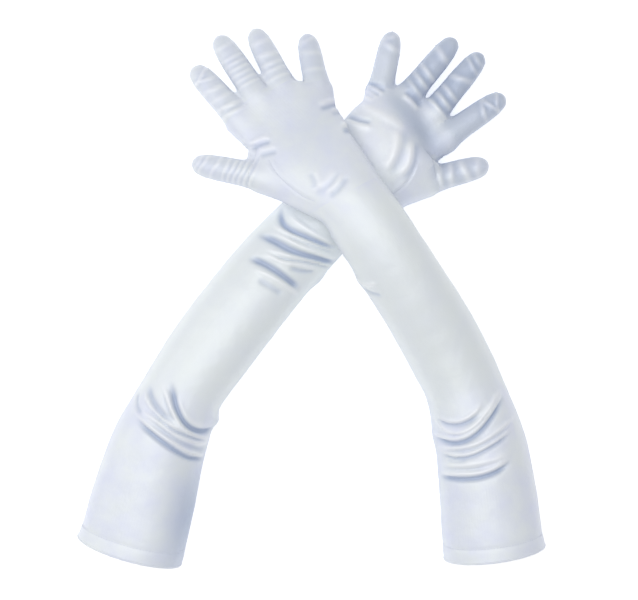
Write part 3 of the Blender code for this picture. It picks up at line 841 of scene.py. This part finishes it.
def namePieces(g, bm):
    # which piece each face belongs to
    centres = centresOf(bm)
    names = ["sleeve", "palm_panel", "back_panel"]
    piece = np.where(past(centres, g.handMiddle, g.handUp) > 0, 1, 2)
    piece[past(centres, g.wrist, g.toElbow) > 0] = 0
    which, away = nearestFinger(g, centres, longFingers)
    toThumb = nearestFinger(g, centres, ("thumb",))[1]
    for k, name in enumerate(longFingers):
        f = g.fingers[name]
        own = (which == k) & (away < hand["reach"]) & (toThumb > away)
        own &= past(centres, fingerStart(f), f["along"]) > 0
        for label, chosen in fingerPieces(g, name, centres):
            names.append(label)
            piece[own & chosen] = len(names) - 1
    names.append("thumb")
    thumbOwn = (past(centres, g.thumbMiddle, g.thumbPlane) > 0) & (toThumb < 0.024) & (toThumb < away)
    piece[thumbOwn] = len(names) - 1
    for f, p in zip(bm.faces, piece):
        f.material_index = int(p)
    return names


def sinkSewnEdges(g, bm, names):
    # sewn edges lie a little in the cloth
    sewn = set()
    for e in bm.edges:
        kinds = {names[f.material_index].split("_")[-1] for f in e.link_faces}
        if len(kinds) == 2 and (kinds <= {"front", "back", "strip"} or kinds == {"thumb", "panel"}):
            sewn.update(e.verts)
    bm.normal_update()
    moves = [(v, v.normal.copy()) for v in sewn]
    for v, normal in moves:
        v.co -= normal * cutting["seamSink"] * (1.6 if (v.co - g.thumbMiddle).length < 0.04 else 1)
    for v in bm.verts:
        v.co.z = max(v.co.z, form["floorGap"])
    bm.normal_update()


def cutPieces(g):
    # the form with its cuts, and the names of its pieces
    g.toElbow = (g.stations[1][0] - g.stations[0][0]).normalized()
    acrossHand = Vector((g.handAlong.y, -g.handAlong.x, 0))
    handSlope = (g.palm[6][0] - g.palm[0][0]).normalized()
    g.handUp = acrossHand.cross(handSlope).normalized()
    if g.handUp.z < 0:
        g.handUp.negate()
    g.handMiddle = g.palm[3][0]
    bm = bmesh.new()
    bm.from_mesh(g.mesh)
    cutForm(g, bm)
    names = namePieces(g, bm)
    sinkSewnEdges(g, bm, names)
    outward = bm.verts.layers.float_vector.new("outward")
    for v in bm.verts:
        v[outward] = v.normal
    rim = [e for e in bm.edges if len(e.link_faces) == 1]
    g.hemLoop = np.array([v.co for v in {v for e in rim for v in e.verts}])
    g.surface = BVHTree.FromBMesh(bm)
    mesh = bpy.data.meshes.new(f"{g.side}Cut")
    bm.to_mesh(mesh)
    bm.free()
    return mesh, names


def separated(g, mesh, names):
    # one object for each piece, named after the CAD node or nodes it stands for
    for name in names:
        mesh.materials.append(bpy.data.materials.new(f"cut_{name}"))
    whole = bpy.data.objects.new(f"{g.side}Cut", mesh)
    bpy.context.scene.collection.objects.link(whole)
    before = set(bpy.data.objects)
    for o in bpy.context.selected_objects:
        o.select_set(False)
    whole.select_set(True)
    bpy.context.view_layer.objects.active = whole
    bpy.ops.mesh.separate(type="MATERIAL")
    found = {}
    for o in [whole, *(set(bpy.data.objects) - before)]:
        name = o.data.materials[0].name.removeprefix("cut_")
        o.name = f"{g.side}_{name}_cloth"
        o.data.materials.clear()
        found[name] = o
    for name in names:
        bpy.data.materials.remove(bpy.data.materials[f"cut_{name}"])
    return found


def thicken(obj):
    # gives the cloth its wall, and shades it as one with its neighbours
    bm = bmesh.new()
    bm.from_mesh(obj.data)
    bmesh.ops.solidify(bm, geom=bm.faces, thickness=form["cloth"])
    bm.to_mesh(obj.data)
    bm.free()
    mesh = obj.data
    mesh.shade_smooth()
    outward = np.zeros(len(mesh.vertices) * 3, np.float32)
    mesh.attributes["outward"].data.foreach_get("vector", outward)
    outward = outward.reshape(-1, 3)
    corner = np.zeros(len(mesh.loops), np.int32)
    mesh.loops.foreach_get("vertex_index", corner)
    faceNormal = np.zeros(len(mesh.polygons) * 3, np.float32)
    mesh.polygons.foreach_get("normal", faceNormal)
    sizes = np.zeros(len(mesh.polygons), np.int32)
    mesh.polygons.foreach_get("loop_total", sizes)
    cornerFace = np.repeat(faceNormal.reshape(-1, 3), sizes, axis=0)
    wanted = outward[corner]
    facing = (wanted * cornerFace).sum(1)
    wanted = np.where(facing[:, None] < 0, -wanted, wanted)
    wanted = np.where(np.abs(facing)[:, None] < 0.35, cornerFace, wanted)
    mesh.normals_split_custom_set(wanted)
    mesh.attributes.remove(mesh.attributes["outward"])


satin = {
    "white": (0.80, 0.835, 0.85, 1),
    "shade": (0.74, 0.77, 0.88, 1),
    "forearm": (0.80, 0.84, 0.83, 1),
    # painted shade colour, mixed in where the cloth's painted shade is above 0
    "deep": (0.42, 0.49, 0.63, 1),
    # painted highlight colour, mixed in where the painted shade is below 0
    "crest": (0.96, 0.97, 0.98, 1),
    "roughness": (0.36, 0.46),
    "threads": 2600,  # threads to the metre
    "weave": 0.00006,  # how far they stand up, in metres
    "unevenness": 0.0009,
}


def satinCloth():
    material = bpy.data.materials.new("satin")
    material.use_nodes = True
    tree = material.node_tree
    shader = tree.nodes["Principled BSDF"]
    link = tree.links.new

    def node(kind, **settings):
        made = tree.nodes.new(kind)
        for name, value in settings.items():
            setattr(made, name, value)
        return made

    shader.inputs["IOR"].default_value = 1.5
    shader.inputs["Metallic"].default_value = 0.08
    shader.inputs["Specular IOR Level"].default_value = 0.6
    shader.inputs["Sheen Weight"].default_value = 0.12
    shader.inputs["Sheen Roughness"].default_value = 0.45
    cut = node("ShaderNodeUVMap", uv_map="cloth")
    # slow changes of tone and gloss over the cloth
    cloud = node("ShaderNodeTexNoise")
    cloud.inputs["Scale"].default_value = 34
    cloud.inputs["Detail"].default_value = 3
    link(cut.outputs["UV"], cloud.inputs["Vector"])
    tone = node("ShaderNodeMix", data_type="RGBA")
    tone.inputs["A"].default_value = satin["white"]
    tone.inputs["B"].default_value = satin["shade"]
    soften = node("ShaderNodeMapRange")
    soften.inputs["From Min"].default_value = 0.35
    soften.inputs["From Max"].default_value = 0.68
    link(cloud.outputs["Fac"], soften.inputs["Value"])
    link(soften.outputs["Result"], tone.inputs["Factor"])
    where = node("ShaderNodeAttribute", attribute_name="tone")
    region = node("ShaderNodeMix", data_type="RGBA")
    region.inputs["B"].default_value = satin["forearm"]
    link(tone.outputs["Result"], region.inputs["A"])
    fade = node("ShaderNodeMath", operation="MULTIPLY")
    fade.inputs[1].default_value = 0.7
    link(where.outputs["Fac"], fade.inputs[0])
    link(fade.outputs["Value"], region.inputs["Factor"])
    # painted shade: darker and bluer in the hollows and where the cloth turns down; painted highlight:
    # brighter on the crests
    # the point attribute that holds the painted shade and painted highlight
    depth = node("ShaderNodeAttribute", attribute_name="deep")
    for name, low, high in (("deep", 0, 1), ("crest", 0, -1)):
        amount = node("ShaderNodeMapRange")
        amount.inputs["From Min"].default_value, amount.inputs["From Max"].default_value = low, high
        link(depth.outputs["Fac"], amount.inputs["Value"])
        mixed = node("ShaderNodeMix", data_type="RGBA")
        mixed.inputs["B"].default_value = satin[name]
        link(amount.outputs["Result"], mixed.inputs["Factor"])
        link(region.outputs["Result"], mixed.inputs["A"])
        region = mixed
    link(region.outputs["Result"], shader.inputs["Base Color"])
    gloss = node("ShaderNodeMapRange")
    gloss.inputs["To Min"].default_value, gloss.inputs["To Max"].default_value = satin["roughness"]
    link(cloud.outputs["Fac"], gloss.inputs["Value"])
    link(gloss.outputs["Result"], shader.inputs["Roughness"])
    # the long floats of a satin weave, with the steps between them broken up
    threads = node("ShaderNodeTexWave", wave_type="BANDS", bands_direction="X", wave_profile="SIN")
    threads.inputs["Scale"].default_value = satin["threads"] / 20
    threads.inputs["Distortion"].default_value = 1.2
    threads.inputs["Detail"].default_value = 2
    threads.inputs["Detail Scale"].default_value = 1.5
    link(cut.outputs["UV"], threads.inputs["Vector"])
    floats = node("ShaderNodeTexBrick", offset=0.4)
    floats.inputs["Scale"].default_value = satin["threads"] / 4
    floats.inputs["Color1"].default_value = (1, 1, 1, 1)
    floats.inputs["Color2"].default_value = (0.75, 0.75, 0.75, 1)
    floats.inputs["Mortar"].default_value = (0.2, 0.2, 0.2, 1)
    floats.inputs["Mortar Size"].default_value = 0.05
    floats.inputs["Brick Width"].default_value = 0.9
    floats.inputs["Row Height"].default_value = 0.22
    link(cut.outputs["UV"], floats.inputs["Vector"])
    weave = node("ShaderNodeMath", operation="MULTIPLY")
    link(threads.outputs["Fac"], weave.inputs[0])
    link(floats.outputs["Color"], weave.inputs[1])
    fine = node("ShaderNodeBump")
    fine.inputs["Strength"].default_value = 0.5
    fine.inputs["Distance"].default_value = satin["weave"]
    link(weave.outputs["Value"], fine.inputs["Height"])
    # the faint lie of the cloth
    lie = node("ShaderNodeTexNoise")
    lie.inputs["Scale"].default_value = 90
    lie.inputs["Detail"].default_value = 2
    link(cut.outputs["UV"], lie.inputs["Vector"])
    slow = node("ShaderNodeBump")
    slow.inputs["Strength"].default_value = 0.5
    slow.inputs["Distance"].default_value = satin["unevenness"]
    link(lie.outputs["Fac"], slow.inputs["Height"])
    link(fine.outputs["Normal"], slow.inputs["Normal"])
    link(slow.outputs["Normal"], shader.inputs["Normal"])
    return material


def threadCloth():
    # spun thread with a twist
    material = bpy.data.materials.new("thread")
    material.use_nodes = True
    tree = material.node_tree
    shader = tree.nodes["Principled BSDF"]
    shader.inputs["Base Color"].default_value = (0.72, 0.75, 0.83, 1)
    shader.inputs["Roughness"].default_value = 0.55
    place = tree.nodes.new("ShaderNodeTexCoord")
    twist = tree.nodes.new("ShaderNodeTexWave")
    twist.bands_direction = "DIAGONAL"
    twist.inputs["Scale"].default_value = 900
    bump = tree.nodes.new("ShaderNodeBump")
    bump.inputs["Distance"].default_value = 0.0001
    bump.inputs["Strength"].default_value = 0.5
    fibre = tree.nodes.new("ShaderNodeTexNoise")
    fibre.inputs["Scale"].default_value = 1500
    rough = tree.nodes.new("ShaderNodeMapRange")
    rough.inputs["To Min"].default_value, rough.inputs["To Max"].default_value = 0.45, 0.7
    link = tree.links.new
    link(place.outputs["Object"], twist.inputs["Vector"])
    link(place.outputs["Object"], fibre.inputs["Vector"])
    link(fibre.outputs["Fac"], rough.inputs["Value"])
    link(rough.outputs["Result"], shader.inputs["Roughness"])
    link(twist.outputs["Fac"], bump.inputs["Height"])
    link(bump.outputs["Normal"], shader.inputs["Normal"])
    return material


def drawTone(g, mesh, points):
    # 1 on the forearm, whose cloth looks a little warmer than the hand's and the cuff's
    along = onSleeve(g, points)[0]
    tone = ease((along - g.wristRun + 0.006) / 0.03) * (1 - ease((along + 0.035) / 0.05))
    mesh.attributes.new("tone", "FLOAT", "POINT").data.foreach_set("value", tone.astype(np.float32))


def drawWeave(mesh, across, along):
    # a UV map in metres of cloth, so that the weave runs with each piece's cut
    corner = np.zeros(len(mesh.loops), np.int32)
    mesh.loops.foreach_get("vertex_index", corner)
    layer = mesh.uv_layers.new(name="cloth")
    layer.data.foreach_set("uv", np.stack([across[corner], along[corner]], axis=1).astype(np.float32).ravel())


def drawRound(mesh, angle, radius, along):
    # the same for a tube, closed without a stretched face where the angle starts again
    corner = np.zeros(len(mesh.loops), np.int32)
    mesh.loops.foreach_get("vertex_index", corner)
    sizes = np.zeros(len(mesh.polygons), np.int32)
    starts = np.zeros(len(mesh.polygons), np.int32)
    mesh.polygons.foreach_get("loop_total", sizes)
    mesh.polygons.foreach_get("loop_start", starts)
    turn = angle[corner]
    first = np.repeat(turn[starts], sizes)
    turn = turn + np.round((first - turn) / (2 * math.pi)) * 2 * math.pi
    layer = mesh.uv_layers.new(name="cloth")
    layer.data.foreach_set("uv", np.stack([turn * radius, along[corner]], axis=1).astype(np.float32).ravel())


def oneWall(mesh):
    # the area of the cloth, which has two walls here
    return sum(p.area for p in mesh.polygons) / 2


def declare(obj, length, spare=1.12):
    # works out a flat piece as long as the made one and as wide as its area needs with some to spare, and
    # keeps neither number
    area = oneWall(obj.data)
    width = max(0.0102, area * spare / length)
    length = min(length, area / (0.32 * width))


bending = {
    "elbow": 0.045,  # how far each side of the elbow the points bendFrom and bendTo lie
    "finger": 0.018,
    "gap": 0.001,  # between a finger's cut and the start of its bend
}


def finish(g, found, cloth):
    side = g.side
    glove, upperArm = f"{side}_glove", f"{side}_upper_arm"
    toElbow = (g.elbow - g.wrist).normalized()
    g.bendFrom = g.elbow - toElbow * bending["elbow"]
    g.bendTo = g.elbow + g.hemAlong * bending["elbow"]
    for name, obj in found.items():
        mesh = obj.data
        thicken(obj)
        points = pointsOf(mesh)
        drawTone(g, mesh, points)
        mesh.materials.append(cloth)
        finger = name.split("_")[0]
        if name == "sleeve":
            along, angle = onSleeve(g, points)
            drawRound(mesh, angle, form["sleeveRadius"], along)
            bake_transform(obj)
            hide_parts(f"{side}_forearm_sleeve", f"{side}_upper_sleeve")
            declare(obj, float(g.run[-1] - g.run[0]) - form["hemSpare"])
        elif name.endswith("panel"):
            along, across = onHand(g, points)
            drawWeave(mesh, across, along)
            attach(obj, glove)
            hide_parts(f"{side}_{name}")
            declare(obj, float(np.ptp(along)))
        else:
            f = g.fingers[finger]
            along, angle = onFinger(f, points)
            drawRound(mesh, angle, hand["fingerRadius"], along)
            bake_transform(obj)
            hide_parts(f"{side}_{name}")
            declare(obj, float(np.ptp(along)))
        print(obj.name, len(mesh.polygons), "faces")


sewing = {
    "hemDepth": 0.0125,
    "hemStitches": 104,
    "stitchLength": 0.0016,
    "threadRadius": 0.00034,
    "thumbStitches": 46,
    "armSeamAngle": 98,  # degrees round from the top, towards the thumb
    "ridge": 0.00045,
    "allowance": 0.005,
    # how the hem turns in: mm towards the middle, and mm past the sleeve's edge
    "hemFold": (
        (-0.25, -1.0), (-0.35, -0.2), (-0.1, 0.5), (0.6, 0.9), (1.3, 0.6),
        (1.6, -0.5), (1.7, -4), (1.75, -8), (1.8, -12.5),
    ),
}


def onCloth(g, run, angle):
    # the point and normal of the sleeve's outside at a place along and round it
    place = [float(np.interp(run, g.run, g.line[:, k])) for k in range(3)]
    k = int(np.abs(g.run - run).argmin())
    heading = Vector(g.heading[k])
    right = up.cross(heading).normalized()
    rise = heading.cross(right)
    outwards = right * math.sin(angle) * g.line[k, 3] + rise * math.cos(angle) * g.line[k, 4]
    point, normal, _, _ = g.surface.ray_cast(Vector(place), outwards.normalized())
    if point is None:
        return None
    return point, normal if normal.dot(outwards) > 0 else -normal, heading


def stitch(bm, point, normal, heading):
    # one short thread lying on the cloth
    heading = (heading - normal * heading.dot(normal)).normalized()
    side = normal.cross(heading)
    radius = sewing["threadRadius"]
    half = sewing["stitchLength"] / 2
    turn = Matrix((heading * half, side * radius, normal * radius * 0.8)).transposed().to_4x4()
    place = Matrix.Translation(point) @ turn
    bmesh.ops.create_uvsphere(bm, u_segments=8, v_segments=5, radius=1.0, matrix=place)


def made(bm, name, material):
    mesh = bpy.data.meshes.new(name)
    bm.to_mesh(mesh)
    bm.free()
    mesh.materials.append(material)
    mesh.shade_smooth()
    obj = bpy.data.objects.new(name, mesh)
    bpy.context.scene.collection.objects.link(obj)
    return obj


def hemBand(g, cloth):
    # the turned hem: the edge rolls over and runs back inside the cuff
    angles = onSleeve(g, g.hemLoop)[1]
    order = angles.argsort()
    angles, loop = angles[order], g.hemLoop[order]
    middle = Vector((loop.min(0) + loop.max(0)) / 2)
    bm = bmesh.new()
    ring = bmesh.ops.create_circle(bm, segments=140, radius=1.0)["verts"]
    for v in ring:
        angle = math.atan2(v.co.x, v.co.y)
        v.co = [np.interp(angle, angles, loop[:, k], period=2 * math.pi) for k in range(3)]
    edges = list(bm.edges)
    frameOf = placed(middle, g.hemAlong, 1, 1)
    halfWidth = float(np.ptp(loop @ np.array(g.hemAlong.cross(up).normalized()))) / 2
    halfHeight = float(np.ptp(loop[:, 2])) / 2
    before = (0, 0)
    for k, (inset, beyond) in enumerate(sewing["hemFold"]):
        if k:
            grown = bmesh.ops.extrude_edge_only(bm, edges=edges)["geom"]
            ring = [x for x in grown if isinstance(x, bmesh.types.BMVert)]
            edges = [x for x in grown if isinstance(x, bmesh.types.BMEdge)]
        wide = (halfWidth - inset / 1000) / (halfWidth - before[0] / 1000)
        tall = (halfHeight - inset / 1000) / (halfHeight - before[0] / 1000)
        move = Matrix.Translation(g.hemAlong * (beyond - before[1]) / 1000)
        turn = frameOf @ Matrix.Diagonal((wide, tall, 1, 1)) @ frameOf.inverted()
        bmesh.ops.transform(bm, matrix=move @ turn, verts=ring)
        before = (inset, beyond)
    bmesh.ops.recalc_face_normals(bm, faces=bm.faces)
    bmesh.ops.solidify(bm, geom=bm.faces, thickness=0.0004)
    obj = made(bm, f"{g.side}_hem_band", cloth)
    points = pointsOf(obj.data)
    drawTone(g, obj.data, points)
    along, angle = onSleeve(g, points)
    drawRound(obj.data, angle, form["sleeveRadius"], along)
    return obj


def turnedHem(g, cloth):
    hem = hemBand(g, cloth)
    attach(hem, f"{g.side}_upper_arm")
    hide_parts(f"{g.side}_turned_hem")
    declare(hem, 0.29)


def hemStitches(g, thread):
    bm = bmesh.new()
    for k in range(sewing["hemStitches"]):
        angle = 2 * math.pi * k / sewing["hemStitches"]
        spot = onCloth(g, hemRun(g, angle) - sewing["hemDepth"], angle)
        if spot:
            point, normal, heading = spot
            stitch(bm, point + normal * 0.0001, normal, normal.cross(heading))
    stitches = made(bm, f"{g.side}_hem_stitches", thread)
    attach(stitches, f"{g.side}_upper_arm")
    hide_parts(f"{g.side}_hem_stitching")


def armSeam(g, thread):
    # the long seam: a fine ridge outside, and the cloth's two raw edges inside
    toThumb = 1 if g.toThumb.dot(up.cross(Vector(g.heading[2]))) > 0 else -1
    angle = math.radians(sewing["armSeamAngle"]) * toThumb
    runs = np.arange(g.wristRun + 0.002, hemRun(g, angle) - 0.0006, 0.004)
    spots = [s for s in (onCloth(g, run, angle) for run in runs) if s]
    ridge, half = sewing["ridge"], sewing["allowance"] / 2
    bm = bmesh.new()
    tubeThrough(bm, [(p - n * 0.0001, ridge, ridge) for p, n, _ in spots], 8)
    tubeThrough(bm, [(p - n * (half + form["cloth"]), 0.0006, half) for p, n, _ in spots], 8)
    bmesh.ops.recalc_face_normals(bm, faces=bm.faces)
    seam = made(bm, f"{g.side}_arm_seam", thread)
    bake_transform(seam)
    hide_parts(f"{g.side}_forearm_seam", f"{g.side}_upper_seam")


def thumbStitches(g, thread):
    # the thumb's seam: along its line on the palm, and underneath in the plane of its root
    bm = bmesh.new()
    for a, b in smoothLine(thumbLine[g.side], 1.5):
        spot = g.wrist + g.handAlong * (a / 1000) + g.toThumb * (b / 1000) + up * 0.1
        point, normal, _, _ = g.surface.ray_cast(spot, -up)
        if point and normal.z > 0.2:
            stitch(bm, point + normal * 0.0001, normal, g.handAlong)
    acrossPlane = g.thumbPlane.orthogonal().normalized()
    downPlane = g.thumbPlane.cross(acrossPlane)
    for k in range(sewing["thumbStitches"]):
        turn = 2 * math.pi * k / sewing["thumbStitches"]
        outwards = acrossPlane * math.cos(turn) + downPlane * math.sin(turn)
        point, normal, _, _ = g.surface.ray_cast(g.thumbMiddle, outwards)
        if point and outwards.z < 0.1 and (point - g.thumbMiddle).length < 0.04:
            if normal.dot(outwards) < 0:
                normal.negate()
            stitch(bm, point + normal * 0.0002, normal, g.thumbPlane.cross(outwards))
    stitches = made(bm, f"{g.side}_thumb_stitches", thread)
    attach(stitches, f"{g.side}_glove")
    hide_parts(f"{g.side}_thumb_seam")


cloth = satinCloth()
thread = threadCloth()
for side in ("right", "left"):
    g = readGlove(side)
    g.mesh = gloveForm(g)
    settle(g)
    print(side, "form", len(g.mesh.vertices), "points")
    finish(g, separated(g, *cutPieces(g)), cloth)
    turnedHem(g, cloth)
    hemStitches(g, thread)
    armSeam(g, thread)
    thumbStitches(g, thread)
    print(side, "hem and seams")


def makeStage():
    bpy.ops.mesh.primitive_plane_add(size=8)
    floor = bpy.context.object
    floor.name = "floor"
    material = bpy.data.materials.new("paper")
    material.use_nodes = True
    shader = material.node_tree.nodes["Principled BSDF"]
    shader.inputs["Base Color"].default_value = (0.98, 0.98, 0.98, 1)
    shader.inputs["Roughness"].default_value = 0.9
    shader.inputs["Emission Color"].default_value = (1, 1, 1, 1)
    shader.inputs["Emission Strength"].default_value = 0.42
    floor.data.materials.append(material)
    floor.location.z = -0.0005


def makeLight(name, place, size, power, target=(0, 0, 0)):
    data = bpy.data.lights.new(name, "AREA")
    data.shape = "DISK"
    data.size = size
    data.energy = power
    light = bpy.data.objects.new(name, data)
    light.location = place
    light.rotation_euler = (Vector(target) - Vector(place)).to_track_quat("-Z", "Y").to_euler()
    bpy.context.scene.collection.objects.link(light)


view = {
    "height": 1.45,  # of the camera over the floor
    "width": 0.5742,  # of what it sees there
    "middle": (0.0063, -0.00815),
    "sensor": 36,
}


def makeCamera():
    # straight above, as a product shot of a flat lay
    data = bpy.data.cameras.new("camera")
    data.sensor_width = view["sensor"]
    data.lens = view["sensor"] * view["height"] / view["width"]
    camera = bpy.data.objects.new("camera", data)
    camera.location = (*view["middle"], view["height"])
    bpy.context.scene.collection.objects.link(camera)
    bpy.context.scene.camera = camera


def makeWorld():
    world = bpy.data.worlds.new("studio")
    bpy.context.scene.world = world
    world.use_nodes = True
    sky = world.node_tree.nodes["Background"]
    sky.inputs["Color"].default_value = (0.93, 0.95, 1.0, 1)
    sky.inputs["Strength"].default_value = 0.45


makeStage()
makeCamera()
makeLight("overhead", (-0.12, 0.05, 2.0), size=1.8, power=19)
makeLight("window", (-1.3, 0.3, 1.1), size=1.2, power=5)
makeWorld()
bpy.context.scene.view_settings.view_transform = "Standard"
